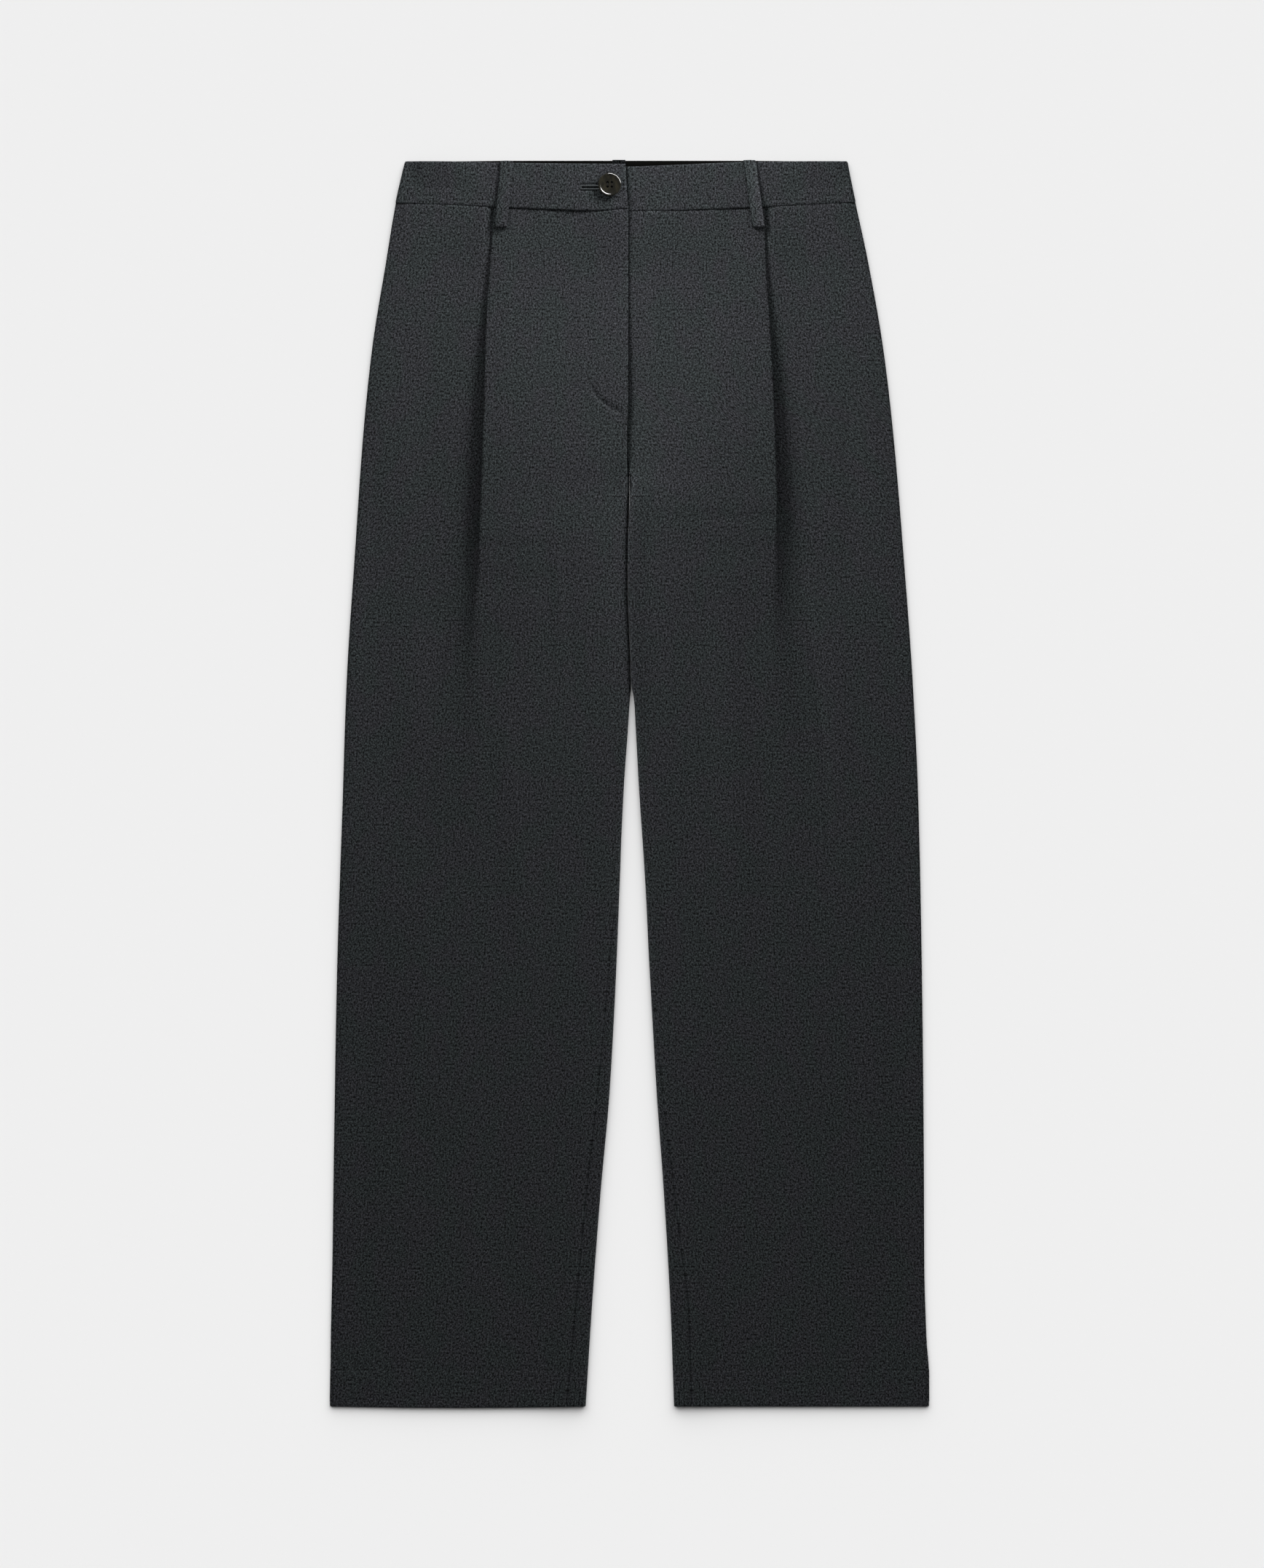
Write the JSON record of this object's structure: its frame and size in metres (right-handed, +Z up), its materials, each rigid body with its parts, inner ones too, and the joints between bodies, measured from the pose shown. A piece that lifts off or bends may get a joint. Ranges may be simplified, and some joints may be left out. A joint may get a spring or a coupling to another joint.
{
  "type": "pleated dress trousers laid flat",
  "caption": "Straight full-length dress trousers laid flat, pleated below a waistband with belt loops, a lapped fly and a button.",
  "frame": {"origin": "centre of the outline, on the surface that the trousers lie on", "axes": "+X to the wearer's left, +Y towards the waist, +Z up off the surface, out of the front of the trousers"},
  "size_m": [0.4942, 1.0285, 0.0123],
  "materials": {
    "wool_cloth": "matt charcoal worsted wool twill, slightly mottled",
    "button_horn": "polished dark horn-like resin"
  },
  "bodies": {
    "root": {"front_right": "wool_cloth", "front_left": "wool_cloth", "back_right": "wool_cloth", "back_left": "wool_cloth", "waistband_front_right": "wool_cloth", "waistband_front_left": "wool_cloth", "waistband_back": "wool_cloth", "belt_loop_front_right": "wool_cloth", "belt_loop_front_left": "wool_cloth", "belt_loop_back": "wool_cloth", "button": "button_horn"}
  },
  "joints": []
}
